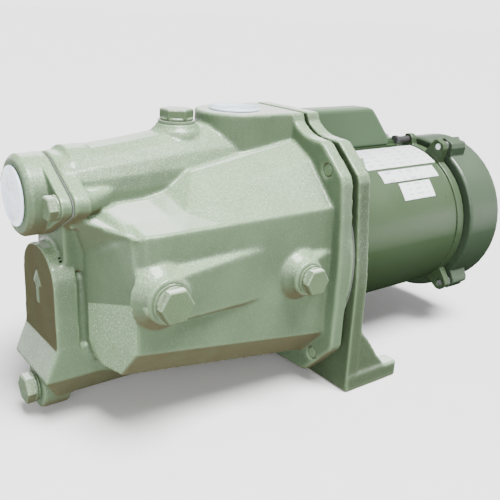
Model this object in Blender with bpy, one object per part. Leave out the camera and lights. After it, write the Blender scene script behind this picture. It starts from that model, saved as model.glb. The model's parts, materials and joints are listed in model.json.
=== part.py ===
"""Shallow well jet pump, modelled as the pieces it is assembled from.

Frame: +X along the shaft towards the motor's rear, +Z up, -Y the side with the two side plugs.
The origin is the middle of the foot's underside. Every constant is in metres.
"""

import math

import bmesh
import bpy
from mathutils import Matrix, Vector

MM = 0.001
GAP = 0.3 * MM

# Shaft and joint planes
SHAFT_Z = 90 * MM
BRACKET_FRONT = -25.4 * MM
BRACKET_REAR = -15 * MM
GASKET = 1 * MM
GASKET_FRONT = BRACKET_FRONT - GAP - GASKET
CASING_REAR = GASKET_FRONT - GAP
FLANGE_FRONT = -38.3 * MM
FLANGE_REAR = -28.5 * MM
LAND_RADIUS = 88 * MM

# Foot
FOOT_REAR = 25.4 * MM
FOOT_HEIGHT = 12 * MM
FOOT_HALF_WIDTH = 91 * MM
SLOT_Y = 73 * MM
SLOT_WIDTH = 12 * MM

# Casing
BODY_FRONT = -180 * MM
BODY_NOSE = -188.6 * MM
BODY_HALF_WIDTH = 75 * MM
WALL = 6 * MM
RIDGE_Z = 133.5 * MM
PLATEAU_Z = 187.6 * MM
PLATEAU_HALF_WIDTH = 28.5 * MM
BOLT_OFFSET = 66 * MM
BOLT_RADIUS = 4 * MM

# Ports
PORT_BORE = 15 * MM
SUCTION_FACE = -219 * MM
SUCTION_Z = 144.5 * MM
SUCTION_FLANGE_FRONT = -207.5 * MM
SUCTION_FLANGE_REAR = -201.2 * MM
SUCTION_GASKET = 0.8 * MM
SUCTION_PAD = SUCTION_FLANGE_REAR + 2 * GAP + SUCTION_GASKET
SUCTION_BOLT_Y = 34 * MM
DISCHARGE_X = -66.5 * MM
DISCHARGE_BOSS_RADIUS = 27 * MM
PRIMING_X = -112 * MM
PRIMING_BOSS_TOP = 181 * MM
SIDE_PLUGS = ((-165 * MM, 98 * MM), (-63 * MM, 92 * MM))
SIDE_PLUG_FLATS = (19 * MM, 16 * MM)
SIDE_BOSS_FACE = -85.5 * MM
DRAIN_FACE = -213 * MM
DRAIN_Z = 19 * MM

# Motor
SHELL_RADIUS = 60 * MM
SHELL_WALL = 2.4 * MM
SHELL_REAR = 117.7 * MM
BELL_REAR = 127 * MM
BELL_LUG_REAR = 124.7 * MM
COVER_FRONT = 128.7 * MM
COVER_REAR = 167.5 * MM
COVER_RADIUS = 66.3 * MM
LUG_ANGLES = (65, -44, 190)
LUG_RADIUS = 70.5 * MM
STATOR_FRONT = 22 * MM
STATOR_REAR = 80 * MM

# Terminal box
BOX_NEAR = -2 * MM
BOX_FAR = 48 * MM
BOX_TOP = 184 * MM

# Colours: base colour, roughness, metallic
GREEN_CAST = ((0.36, 0.45, 0.34), 0.45, 0.0)
GREEN_SHEET = ((0.25, 0.33, 0.23), 0.35, 0.0)
WHITE_PLASTIC = ((0.85, 0.88, 0.92), 0.35, 0.0)
BLACK_RUBBER = ((0.03, 0.03, 0.03), 0.7, 0.0)
BLACK_PLASTIC = ((0.05, 0.05, 0.055), 0.45, 0.0)
GREY_PLASTIC = ((0.42, 0.44, 0.46), 0.5, 0.0)
BRASS = ((0.78, 0.6, 0.3), 0.3, 1.0)
STEEL = ((0.62, 0.63, 0.65), 0.3, 1.0)
ZINC = ((0.78, 0.79, 0.8), 0.35, 1.0)
LAMINATION = ((0.3, 0.31, 0.33), 0.5, 1.0)
COPPER = ((0.72, 0.36, 0.2), 0.4, 1.0)
CARBON = ((0.08, 0.08, 0.085), 0.4, 0.0)
CERAMIC = ((0.86, 0.84, 0.8), 0.3, 0.0)
FIBRE = ((0.2, 0.22, 0.2), 0.8, 0.0)
PAPER = ((0.9, 0.91, 0.92), 0.4, 0.0)


# ---------------------------------------------------------------- shared tools

def clear_scene():
    for obj in list(bpy.data.objects):
        bpy.data.objects.remove(obj, do_unlink=True)


def make_material(name, finish):
    colour, roughness, metallic = finish
    material = bpy.data.materials.new(name)
    material.use_nodes = True
    shader = material.node_tree.nodes["Principled BSDF"]
    shader.inputs["Base Color"].default_value = (*colour, 1.0)
    shader.inputs["Roughness"].default_value = roughness
    shader.inputs["Metallic"].default_value = metallic
    return material


def finish_object(name, bm, finish=None, origin=(0, 0, 0), sharp=35):
    """Turn a bmesh in world coordinates into an object whose origin is at the given point."""
    bmesh.ops.remove_doubles(bm, verts=bm.verts, dist=1e-7)
    bmesh.ops.connect_verts_nonplanar(bm, angle_limit=0.0005, faces=bm.faces)
    bmesh.ops.recalc_face_normals(bm, faces=bm.faces)
    bmesh.ops.translate(bm, verts=bm.verts, vec=-Vector(origin))
    mesh = bpy.data.meshes.new(name)
    bm.to_mesh(mesh)
    bm.free()
    mesh.shade_smooth()
    mesh.set_sharp_from_angle(angle=math.radians(sharp))
    obj = bpy.data.objects.new(name, mesh)
    obj.location = origin
    bpy.context.scene.collection.objects.link(obj)
    if finish:
        mesh.materials.append(make_material(name, finish))
    return obj


def add_ring(bm, points):
    return [bm.verts.new(point) for point in points]


def add_loft(bm, rings):
    """Close a body through rings of equal length."""
    loops = [add_ring(bm, ring) for ring in rings]
    count = len(loops[0])
    for first, second in zip(loops, loops[1:]):
        for i in range(count):
            j = (i + 1) % count
            bm.faces.new((first[i], first[j], second[j], second[i]))
    bm.faces.new(loops[0])
    bm.faces.new(loops[-1])


def loft_x(name, sections, finish=None):
    """Body through (x, [(y, z), ...]) sections."""
    bm = bmesh.new()
    add_loft(bm, [[(x, y, z) for y, z in outline] for x, outline in sections])
    return finish_object(name, bm, finish)


def prism_x(name, outline, x0, x1, finish=None):
    return loft_x(name, [(x0, outline), (x1, outline)], finish)


def prism_y(name, outline, y0, y1, finish=None):
    bm = bmesh.new()
    add_loft(bm, [[(x, y, z) for x, z in outline] for y in (y0, y1)])
    return finish_object(name, bm, finish)


def prism_z(name, outline, z0, z1, finish=None):
    bm = bmesh.new()
    add_loft(bm, [[(x, y, z) for x, y in outline] for z in (z0, z1)])
    return finish_object(name, bm, finish)


def box(name, low, high, finish=None):
    outline = ((low[1], low[2]), (high[1], low[2]), (high[1], high[2]), (low[1], high[2]))
    return prism_x(name, outline, low[0], high[0], finish)


def hull(name, points, finish=None):
    bm = bmesh.new()
    for point in points:
        bm.verts.new(point)
    result = bmesh.ops.convex_hull(bm, input=bm.verts)
    loose = [item for item in result["geom_interior"] if isinstance(item, bmesh.types.BMVert)]
    bmesh.ops.delete(bm, geom=loose, context="VERTS")
    return finish_object(name, bm, finish)


AXIS_TURN = {
    "x": Matrix.Identity(4),
    "y": Matrix.Rotation(math.radians(90), 4, "Z"),
    "-y": Matrix.Rotation(math.radians(-90), 4, "Z"),
    "z": Matrix.Rotation(math.radians(-90), 4, "Y"),
}


def turned(name, profile, centre=(0, 0, 0), axis="x", segments=24, finish=None, origin=None, sharp=35):
    """Body of revolution: profile of (distance along the axis, radius), a closed outline.

    A profile that starts and ends at radius 0 makes a solid piece; any other makes a ring.
    """
    bm = bmesh.new()
    turn = Matrix.Translation(centre) @ AXIS_TURN[axis]
    closed = profile[0][1] > 0 or profile[-1][1] > 0
    columns = []
    for step in range(segments):
        angle = 2 * math.pi * (step + 0.5) / segments
        column = []
        for along, radius in profile:
            if radius <= 0 and step > 0:
                column.append(columns[0][len(column)])
                continue
            point = Vector((along, radius * math.cos(angle), radius * math.sin(angle)))
            column.append(bm.verts.new(turn @ point))
        columns.append(column)
    count = len(profile)
    for step in range(segments):
        here = columns[step]
        there = columns[(step + 1) % segments]
        for i in range(count if closed else count - 1):
            j = (i + 1) % count
            corners = [here[i], here[j], there[j], there[i]]
            unique = list(dict.fromkeys(corners))
            if len(unique) > 2:
                bm.faces.new(unique)
    return finish_object(name, bm, finish, origin or (0, 0, 0), sharp)


def rod_profile(x0, x1, radius, chamfer=0.0):
    if not chamfer:
        return ((x0, 0), (x0, radius), (x1, radius), (x1, 0))
    return ((x0, 0), (x0, radius - chamfer), (x0 + chamfer, radius),
            (x1 - chamfer, radius), (x1, radius - chamfer), (x1, 0))


def tube_profile(x0, x1, inner, outer):
    return ((x0, inner), (x0, outer), (x1, outer), (x1, inner))


def rod(name, x0, x1, radius, centre=(0, 0, 0), axis="x", segments=24, chamfer=0.0, finish=None):
    return turned(name, rod_profile(x0, x1, radius, chamfer), centre, axis, segments, finish)


def tube(name, x0, x1, inner, outer, centre=(0, 0, 0), axis="x", segments=24, finish=None):
    return turned(name, tube_profile(x0, x1, inner, outer), centre, axis, segments, finish)


def combine(target, other, operation):
    """Boolean the other object into the target and remove it."""
    modifier = target.modifiers.new(operation, "BOOLEAN")
    modifier.operation = operation
    modifier.solver = "EXACT"
    modifier.object = other
    depsgraph = bpy.context.evaluated_depsgraph_get()
    mesh = bpy.data.meshes.new_from_object(target.evaluated_get(depsgraph))
    target.modifiers.clear()
    bm = bmesh.new()
    bm.from_mesh(mesh)
    bmesh.ops.remove_doubles(bm, verts=bm.verts, dist=2e-6)
    bmesh.ops.dissolve_degenerate(bm, edges=bm.edges, dist=2e-6)
    bm.to_mesh(mesh)
    bm.free()
    target.data = mesh
    bpy.data.objects.remove(other, do_unlink=True)


def unite(target, *others):
    for other in others:
        combine(target, other, "UNION")


def cut(target, *others):
    for other in others:
        combine(target, other, "DIFFERENCE")


def grouped(pieces):
    """Put separate cutters that don't touch each other into one object."""
    bm = bmesh.new()
    for piece in pieces:
        bm.from_mesh(piece.data)
        bpy.data.objects.remove(piece, do_unlink=True)
    return finish_object("group", bm)


def keep_common(target, other):
    combine(target, other, "INTERSECT")


def set_finish(obj, finish):
    """Merge faces that lie in one plane, then colour and shade."""
    bm = bmesh.new()
    bm.from_mesh(obj.data)
    bmesh.ops.dissolve_limit(bm, angle_limit=0.0008, verts=bm.verts, edges=bm.edges)
    bm.to_mesh(obj.data)
    bm.free()
    obj.data.materials.clear()
    obj.data.materials.append(make_material(obj.name, finish))
    obj.data.shade_smooth()
    obj.data.set_sharp_from_angle(angle=math.radians(30))


def move_origin(obj, point):
    """Put the object's origin on its joint's axis without moving the piece."""
    obj.data.transform(Matrix.Translation(obj.location - Vector(point)))
    obj.location = point


def mirrored(half):
    """Close an outline from its near half, given from top or bottom centre outwards."""
    return [*half, *[(-y, z) for y, z in reversed(half)]]


def hexagon_profile(radius):
    return [(radius * math.cos(math.radians(60 * i)), radius * math.sin(math.radians(60 * i)))
            for i in range(6)]


def hex_screw(name, centre, axis, flats, head, flange, shank, length, finish, bore_chamfer=0.8 * MM):
    """Hex-headed plug or bolt. Its axis points from the shank's tip to the head, from the seat at 0."""
    corner = flats / math.sqrt(3)
    turn = Matrix.Translation(centre) @ AXIS_TURN[axis]
    bm = bmesh.new()
    outline = hexagon_profile(corner)
    small = hexagon_profile(corner - bore_chamfer)
    levels = ((flange, outline), (head - bore_chamfer, outline), (head, small))
    add_loft(bm, [[turn @ Vector((along, y, z)) for y, z in ring] for along, ring in levels])
    body = finish_object(name, bm)
    washer = flats * 0.56
    profile = ((-length, 0), (-length, shank - 0.6 * MM), (-length + 0.6 * MM, shank), (0, shank),
               (0, washer), (flange + 0.2 * MM, washer), (flange + 0.2 * MM, 0))
    unite(body, turned(name + "_shank", profile, centre, axis, 16))
    set_finish(body, finish)
    return body


# ---------------------------------------------------------------- pump casing

def flange_outline(top_z, growth=0.0):
    """Near half of the flange, from the plateau's edge round to the bottom centre."""
    g = growth
    return [
        (-PLATEAU_HALF_WIDTH, top_z), (-31 * MM, 181.8 * MM), (-35 * MM, 178.6 * MM),
        (-41 * MM, 175.6 * MM), (-48 * MM, 173.9 * MM), (-57.5 * MM - g, 173.5 * MM),
        (-60.5 * MM - g, 172 * MM), (-79.5 * MM - g, 154.5 * MM), (-81.3 * MM - g, 150 * MM),
        (-83.8 * MM - g, 128 * MM), (-85.6 * MM - g, 98 * MM), (-85.8 * MM - g, 66 * MM),
        (-84.8 * MM - g, 35.5 * MM), (-83.2 * MM - g, 32 * MM), (-61 * MM - g, 8.6 * MM),
        (-58 * MM - g, 7.6 * MM), (-30 * MM, 6.2 * MM),
    ]


def body_section(x, side_low, crease, ridge, shoulder, crown):
    """Near half of the body at x: keel edge, side, crease, ridge, shoulder and where the hump stands."""
    keel = min(55 * MM, -side_low[0] - 12 * MM)
    return (x, mirrored([(-keel, side_low[1] - 22 * MM), side_low, crease, ridge, shoulder, crown]))


def side_low_at(x):
    """Height of the side face's lower edge, which drops towards the flange."""
    share = (x - BODY_FRONT) / (FLANGE_FRONT - BODY_FRONT)
    return (64.7 + share * (44.0 - 64.7)) * MM


def make_body():
    """The near and far corners of the front are sharp below the crease and rounded at the ridge."""
    nose = (BODY_NOSE, mirrored([
        (-20 * MM, 56 * MM), (-28 * MM, 58 * MM), (-28 * MM, 81 * MM), (-28 * MM, 112 * MM),
        (-27 * MM, 122 * MM), (-20 * MM, 133 * MM),
    ]))
    stations = (
        (-184.3, 51, 87, 56, 125, (-42, 130), (-27, 136)),
        (-180, 75, 94, 69, 131.5, (-57, 135.5), (-32, 139.5)),
        (-174, 75, 96, 73.6, 133.4, (-57, 136.6), (-32, 140)),
        (-165, 75, 98, 75, 133.5, (-56, 137), (-32, 140.5)),
        (-150, 75, 99, 75, 133.5, (-56, 137.2), (-32, 141)),
        (-137, 75, 100, 75, 133.5, (-55, 138.6), (-32, 144)),
        (-120, 75, 101, 75, 133.5, (-52, 146), (-32, 155.5)),
        (-92, 75, 101, 75, 133.5, (-50, 150.5), (-32, 160)),
        (-37.3, 75, 101, 75, 133.5, (-50, 160), (-32, 169.5)),
    )
    sections = [nose]
    for x, low_half, crease_z, ridge_half, ridge_z, shoulder, crown in stations:
        low_z = min(side_low_at(x * MM), 64.7 * MM)
        sections.append(body_section(
            x * MM, (-low_half * MM, low_z), (-low_half * MM, crease_z * MM), (-ridge_half * MM, ridge_z * MM),
            [v * MM for v in shoulder], [v * MM for v in crown]))
    return loft_x("pump_casing", sections)


def make_hump():
    """Long arched passage from the suction nozzle to the discharge block."""
    steps = 10
    sections = []
    for x, top in ((-197, 168.6), (-180, 170.6), (-150, 173.8), (-125, 177.2), (-95, 180), (-45, 181)):
        spring = 148.5 * MM
        outline = [(-28 * MM, 128 * MM)]
        for i in range(steps + 1):
            angle = math.pi - math.pi * i / steps
            outline.append((28 * MM * math.cos(angle), spring + (top * MM - spring) * math.sin(angle)))
        outline.append((28 * MM, 128 * MM))
        sections.append((x * MM, outline))
    return loft_x("hump", sections)


def suction_plate(name, x0, x1, growth=0.0):
    """Two-bolt flange round the suction bore: a disc with an ear on each side."""
    points = []
    ear = 7.5 * MM
    for y, radius, count in ((0, 24.3 * MM, 32), (-SUCTION_BOLT_Y, ear, 16), (SUCTION_BOLT_Y, ear, 16)):
        for i in range(count):
            angle = math.tau * (i + 0.5) / count
            for x in (x0, x1):
                points.append((x, y + (radius + growth) * math.cos(angle),
                               SUCTION_Z + (radius + growth) * math.sin(angle)))
    return hull(name, points)


def suction_bolt_holes(x0, x1):
    return grouped([rod("suction_hole", x0, x1, BOLT_RADIUS + GAP, (0, y, SUCTION_Z), segments=16)
                    for y in (-SUCTION_BOLT_Y, SUCTION_BOLT_Y)])


def make_suction_pad():
    """Seat of the suction flange, faired into the body's front and into the passage behind it."""
    pad = suction_plate("suction_pad", SUCTION_PAD, -190 * MM)
    unite(pad, rod("pad_root", -191 * MM, -176 * MM, 27.4 * MM, (0, 0, SUCTION_Z), segments=32))
    unite(pad, box("riser_neck", (-199.4 * MM, -21.5 * MM, 100 * MM), (-183 * MM, 21.5 * MM, 136 * MM)))
    for side in (-1, 1):
        facet = [(-188.2, 8, 111.2), (-188.2, 26.8, 111.2), (-195, 30, 135.3), (-195, 8, 135.3),
                 (-178.6, 74, 132.7), (-178.6, 8, 111), (-178.6, 8, 137.7)]
        unite(pad, hull("pad_facet", [(x * MM, y * side * MM, z * MM) for x, y, z in facet]))
        fairing = [(-160, 22, 150), (-160, 22, 140), (-189, 20, 138), (-189, 20, 151)]
        points = [(x * MM, y * side * MM, z * MM) for x, y, z in fairing]
        for i in range(12):
            angle = math.tau * i / 12
            points.append((-191.5 * MM, SUCTION_BOLT_Y * side + 7 * MM * math.cos(angle),
                           SUCTION_Z + 7 * MM * math.sin(angle)))
        unite(pad, hull("ear_fairing", points))
    return pad


def ejector_outline(half_width, top, springing, low):
    points = [(-half_width - 1.5 * MM, low)]
    steps = 12
    for i in range(steps + 1):
        angle = math.pi - math.pi * i / steps
        points.append((half_width * math.cos(angle), springing + (top - springing) * math.sin(angle)))
    points.append((half_width + 1.5 * MM, low))
    return points


def make_ejector_box():
    front = prism_x("ejector_box", ejector_outline(25.5 * MM, 113.5 * MM, 92 * MM, 50 * MM),
                    -208 * MM, -193.5 * MM)
    neck = prism_x("ejector_neck", ejector_outline(22 * MM, 110 * MM, 90 * MM, 50 * MM),
                   -194 * MM, -183 * MM)
    unite(front, neck)
    return front


def make_lower_block():
    points = []
    for side in (-1, 1):
        near = 27 * MM * side
        keel = 14 * MM * side
        points += [
            (-208 * MM, near, 54.5 * MM), (-196.5 * MM, near, 54.5 * MM),
            (-216 * MM, near, 35 * MM), (-216 * MM, near, 33.6 * MM), (-179 * MM, near, 33.6 * MM),
            (-204 * MM, keel, 15.5 * MM), (-143 * MM, keel, 15.5 * MM), (-143 * MM, keel, 40 * MM),
        ]
    block = hull("lower_block", points)
    boss = rod("drain_boss", DRAIN_FACE, -195 * MM, 14.5 * MM, (0, 0, DRAIN_Z), chamfer=1 * MM)
    unite(block, boss)
    return block


def make_side_boss(index, x, z, size, fade_x, fade_half):
    """Round boss on the near side, with a wedge that fades into the wall towards the flange."""
    profile = ((0, 0), (0, 20.5 * size), (3 * MM, 18.5 * size), (7.5 * MM, 14.6 * size),
               (-SIDE_BOSS_FACE - 74 * MM, 13.8 * size), (-SIDE_BOSS_FACE - 74 * MM, 0))
    boss = turned(f"side_boss_{index}", profile, (x, -74 * MM, z), "-y", 24)
    points = []
    for sign in (-1, 1):
        points += [
            (x, SIDE_BOSS_FACE + 0.6 * MM, z + sign * 13 * size), (x, -74 * MM, z + sign * 17 * size),
            (fade_x, -75.2 * MM, z + sign * (fade_half - 2 * MM)), (fade_x, -74 * MM, z + sign * fade_half),
        ]
    unite(boss, hull(f"fairing_{index}", points))
    return boss


def make_plateau():
    outline = []
    count = 20
    for i in range(count + 1):
        angle = math.radians(90 + 180 * i / count)
        outline.append((DISCHARGE_X + DISCHARGE_BOSS_RADIUS * math.cos(angle),
                        DISCHARGE_BOSS_RADIUS * math.sin(angle)))
    outline += [(FLANGE_FRONT + 2 * MM, -PLATEAU_HALF_WIDTH), (FLANGE_FRONT + 2 * MM, PLATEAU_HALF_WIDTH)]
    return prism_z("plateau", outline, 150 * MM, PLATEAU_Z)


def make_flange():
    flange = prism_x("flange", mirrored(flange_outline(PLATEAU_Z)), FLANGE_FRONT, FLANGE_REAR)
    land = rod("land", FLANGE_REAR - 1 * MM, CASING_REAR, LAND_RADIUS, (0, 0, SHAFT_Z), segments=64)
    keep_common(land, prism_x("land_limit", mirrored(flange_outline(PLATEAU_Z, 3 * MM)),
                              FLANGE_FRONT, BRACKET_FRONT))
    unite(flange, land)
    return flange


def chamber_section(x, side_low, shoulder_z, crown_z):
    half = BODY_HALF_WIDTH - WALL
    return (x, mirrored([
        (-52 * MM, side_low - 22 * MM + WALL), (-half, side_low + 3 * MM), (-half, RIDGE_Z - 4 * MM),
        (-50 * MM, shoulder_z), (-24 * MM, crown_z),
    ]))


def cut_chambers(casing):
    """Suction chamber behind the nozzle, pressure chamber round the impeller, and all bored holes."""
    stations = ((-171, 129, 131), (-140, 130, 133), (-120, 137, 145), (-92, 142, 151), (-60, 146, 156))
    sections = [chamber_section(x * MM, side_low_at(x * MM), s * MM, c * MM) for x, s, c in stations]
    sections.append(chamber_section(-26 * MM, side_low_at(-40 * MM), 149 * MM, 160 * MM))
    chamber = loft_x("chamber", sections)
    throat = rod("throat", -45 * MM, -26 * MM, 62 * MM, (0, 0, SHAFT_Z), segments=40)
    keep_common(chamber, box("chamber_limit", (-171 * MM, -80 * MM, 0), (-26 * MM, 80 * MM, 200 * MM)))
    rear_wall = box("rear_wall", (-44 * MM, -90 * MM, 0), (-20 * MM, 90 * MM, 200 * MM))
    cut(chamber, rear_wall)
    suction = box("suction_chamber", (-202 * MM, -18 * MM, 62 * MM), (-178 * MM, 18 * MM, 108 * MM))
    riser = box("riser", (-196.5 * MM, -17 * MM, 70 * MM), (-178 * MM, 17 * MM, 161 * MM))
    sump = box("sump", (-203 * MM, -13 * MM, 20 * MM), (-160 * MM, 13 * MM, 52 * MM))
    sump_rise = box("sump_rise", (-168 * MM, -12 * MM, 21 * MM), (-150 * MM, 13 * MM, 60 * MM))
    cut(casing, chamber, throat, suction, riser, sump, sump_rise)
    bores = (
        rod("b1", SUCTION_FACE, -190 * MM, PORT_BORE, (0, 0, SUCTION_Z)),
        rod("b2", 130 * MM, 200 * MM, PORT_BORE, (DISCHARGE_X, 0, 0), "z"),
        rod("b3", 140 * MM, 200 * MM, 8.3 * MM, (PRIMING_X, 0, 0), "z", 24),
        rod("b4", -190 * MM, -165 * MM, 11 * MM, (0, 0, SHAFT_Z)),
        rod("b5", DRAIN_FACE - 5 * MM, -198 * MM, 5.3 * MM, (0, 0, DRAIN_Z), segments=20),
    )
    cut(casing, *bores)
    side_bores = [rod("side_bore", 55 * MM, 95 * MM, 6.8 * MM, (x, 0, z), "-y", 24) for x, z in SIDE_PLUGS]
    cut(casing, grouped(side_bores), bolt_holes(-45 * MM, -20 * MM))
    cut(casing, suction_bolt_holes(-205 * MM, -191.8 * MM))


def bolt_holes(x0, x1):
    corners = [(0, y, SHAFT_Z + z) for y in (-BOLT_OFFSET, BOLT_OFFSET) for z in (-BOLT_OFFSET, BOLT_OFFSET)]
    return grouped([rod("bolt_hole", x0, x1, BOLT_RADIUS + GAP, corner, segments=16) for corner in corners])


def make_pump_casing():
    casing = make_body()
    unite(casing, make_hump(), make_suction_pad(), make_ejector_box(), make_lower_block())
    unite(casing, make_plateau(), make_flange())
    priming = turned("priming_boss", (
        (155 * MM, 0), (155 * MM, 18 * MM), (174 * MM, 17 * MM), (177.5 * MM, 15.5 * MM),
        (178.5 * MM, 13.6 * MM), (PRIMING_BOSS_TOP, 13 * MM), (PRIMING_BOSS_TOP, 0),
    ), (PRIMING_X, 0, 0), "z", 24)
    unite(casing, priming)
    unite(casing, make_side_boss(1, *SIDE_PLUGS[0], 1 * MM, -93 * MM, 18 * MM))
    unite(casing, make_side_boss(2, *SIDE_PLUGS[1], 0.85 * MM, FLANGE_FRONT + 1 * MM, 13 * MM))
    cut_chambers(casing)
    set_finish(casing, GREEN_CAST)
    return casing


def make_suction_flange():
    """Separate port flange, its gasket and two bolts."""
    flange = turned("suction_flange", (
        (SUCTION_FACE, 0), (SUCTION_FACE, 22 * MM), (SUCTION_FACE + 2.2 * MM, 24 * MM),
        (-205 * MM, 24 * MM), (-205 * MM, 0),
    ), (0, 0, SUCTION_Z), segments=32)
    unite(flange, suction_plate("plate", SUCTION_FLANGE_FRONT, SUCTION_FLANGE_REAR))
    cut(flange, rod("port", -230 * MM, -195 * MM, PORT_BORE, (0, 0, SUCTION_Z)))
    cut(flange, suction_bolt_holes(-215 * MM, -195 * MM))
    set_finish(flange, GREEN_CAST)

    front = SUCTION_FLANGE_REAR + GAP
    gasket = suction_plate("suction_gasket", front, front + SUCTION_GASKET, -0.6 * MM)
    cut(gasket, rod("port", -230 * MM, -195 * MM, PORT_BORE - 1 * MM, (0, 0, SUCTION_Z)))
    cut(gasket, suction_bolt_holes(-215 * MM, -195 * MM))
    set_finish(gasket, FIBRE)

    seat = SUCTION_FLANGE_FRONT - GAP
    for index, y in enumerate((-SUCTION_BOLT_Y, SUCTION_BOLT_Y), 1):
        bolt = hex_screw(f"suction_bolt_{index}", (0, 0, 0), "x", 13 * MM, 6.2 * MM, 1 * MM, BOLT_RADIUS,
                         -192.6 * MM - seat, GREEN_CAST)
        bolt.data.transform(Matrix.Translation((seat, y, SUCTION_Z)) @ Matrix.Rotation(math.pi, 4, "Z"))


# ---------------------------------------------------------------- plugs and pump internals

def make_transit_plug(name, face, centre, axis):
    """Push-in cap with a rolled rim that stands on the port's face, and a hollow skirt in the bore."""
    rim = 17.8 * MM
    skirt = PORT_BORE - GAP
    profile = (
        (face + 0.9 * MM, 0), (face + 0.9 * MM, 13.6 * MM), (face + 2.0 * MM, 14.6 * MM),
        (face + 2.4 * MM, 16.2 * MM), (face + 1.9 * MM, rim), (face + GAP, rim), (face + GAP, skirt),
        (face - 11 * MM, skirt - 0.5 * MM), (face - 12 * MM, skirt - 1 * MM),
        (face - 12 * MM, skirt - 2.2 * MM),
        (face - 0.9 * MM, skirt - 2.2 * MM), (face - 0.9 * MM, 0),
    )
    return turned(name, profile, centre, axis, 24, WHITE_PLASTIC)


def make_plugs():
    suction = make_transit_plug("suction_transit_plug", 0, (0, 0, 0), "x")
    turn_front = Matrix.Translation((SUCTION_FACE, 0, SUCTION_Z)) @ Matrix.Rotation(math.pi, 4, "Z")
    suction.data.transform(turn_front)
    move_origin(suction, (SUCTION_FACE, 0, SUCTION_Z))
    discharge = make_transit_plug("discharge_transit_plug", 0, (DISCHARGE_X, 0, PLATEAU_Z), "z")
    move_origin(discharge, (DISCHARGE_X, 0, PLATEAU_Z))

    seat = PRIMING_BOSS_TOP + GAP
    tube("priming_plug_washer", seat, seat + 1.4 * MM, 8.6 * MM, 12 * MM, (PRIMING_X, 0, 0), "z", 20, FIBRE)
    head = (PRIMING_X, 0, seat + 1.4 * MM + GAP)
    priming = hex_screw("priming_plug", head, "z", 19 * MM, 7 * MM, 1.2 * MM, 8 * MM, 12 * MM, GREEN_CAST)
    move_origin(priming, head)

    for index, ((x, z), flats) in enumerate(zip(SIDE_PLUGS, SIDE_PLUG_FLATS), 1):
        face = -SIDE_BOSS_FACE + GAP
        tube(f"side_plug_washer_{index}", face, face + 1.2 * MM, 7.2 * MM, flats * 0.6, (x, 0, z), "-y", 20,
             FIBRE)
        head = (x, -(face + 1.2 * MM + GAP), z)
        plug = hex_screw(f"side_plug_{index}", head, "-y", flats, 6.2 * MM, 1.2 * MM, 6.5 * MM, 14 * MM,
                         GREEN_CAST)
        move_origin(plug, head)

    face = -DRAIN_FACE + GAP
    centre = (0, 0, DRAIN_Z)
    washer = tube("drain_plug_washer", face, face + 1 * MM, 5.6 * MM, 9 * MM, (0, 0, 0), "x", 20, FIBRE)
    turn_front = Matrix.Translation(centre) @ Matrix.Rotation(math.pi, 4, "Z")
    washer.data.transform(turn_front)
    plug = hex_screw("drain_plug", (face + 1 * MM + GAP, 0, 0), "x", 17 * MM, 7 * MM, 1.2 * MM, 5 * MM,
                     11 * MM, GREEN_CAST)
    plug.data.transform(turn_front)
    move_origin(plug, (-face - 1 * MM - GAP, 0, centre[2]))


FLAP_PIVOT = (-192.6 * MM, 0, 157.6 * MM)


def make_check_valve():
    """Seat ring pressed in the suction bore, and a flap hung from a pin above it."""
    centre = (0, 0, SUCTION_Z)
    turned("check_valve_seat", (
        (-199.5 * MM, 10.5 * MM), (-199.5 * MM, 14.7 * MM), (-197 * MM, 14.7 * MM), (-195.6 * MM, 12.6 * MM),
        (-195.6 * MM, 10.5 * MM),
    ), centre, finish=BRASS)
    flap = rod("check_valve_flap", -195.3 * MM, -193 * MM, 12 * MM, centre, chamfer=0.4 * MM)
    arm = box("arm", (-193.6 * MM, -3 * MM, 146 * MM), (-191.2 * MM, 3 * MM, 158 * MM))
    knuckle = rod("knuckle", -9 * MM, 9 * MM, 2.2 * MM, FLAP_PIVOT, "y", 20)
    stud = rod("stud", -193.6 * MM, -190.4 * MM, 3 * MM, centre, segments=16)
    unite(flap, arm, knuckle, stud)
    set_finish(flap, BLACK_RUBBER)
    move_origin(flap, FLAP_PIVOT)


def make_ejector():
    centre = (0, 0, SHAFT_Z)
    turned("ejector_nozzle", (
        (-201.7 * MM, 3 * MM), (-201.7 * MM, 10 * MM), (-198 * MM, 10 * MM), (-197 * MM, 7.5 * MM),
        (-181 * MM, 4.6 * MM), (-181 * MM, 2.8 * MM), (-195 * MM, 4.6 * MM),
    ), centre, finish=BRASS)
    turned("venturi_tube", (
        (-177.5 * MM, 8.6 * MM), (-177.5 * MM, 10.7 * MM), (-170.7 * MM, 10.7 * MM), (-170.7 * MM, 14.5 * MM),
        (-167 * MM, 14.5 * MM), (-166 * MM, 9.4 * MM), (-150 * MM, 9 * MM), (-72 * MM, 12.4 * MM),
        (-63.5 * MM, 12.4 * MM), (-63.5 * MM, 10.6 * MM), (-72 * MM, 10 * MM), (-158 * MM, 5.2 * MM),
        (-166 * MM, 5.2 * MM),
    ), centre, segments=20, finish=BLACK_PLASTIC)


def make_guide_housing():
    """Cup round the impeller: the eye takes the venturi tube, and slots in the wall let water out."""
    centre = (0, 0, SHAFT_Z)
    housing = turned("guide_housing", (
        (-69 * MM, 12.8 * MM), (-69 * MM, 16.5 * MM), (-61 * MM, 17.5 * MM), (-59 * MM, 55 * MM),
        (-28.2 * MM, 55 * MM), (-28.2 * MM, 51.5 * MM), (-55 * MM, 51.5 * MM), (-56.5 * MM, 12.8 * MM),
    ), centre, segments=28)
    slots = []
    for i in range(6):
        slot = box("slot", (-50 * MM, 45 * MM, -7 * MM), (-36 * MM, 60 * MM, 7 * MM))
        slot.data.transform(Matrix.Translation(centre) @ Matrix.Rotation(math.radians(60 * i + 17), 4, "X"))
        slots.append(slot)
    cut(housing, grouped(slots))
    set_finish(housing, BLACK_PLASTIC)


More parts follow.
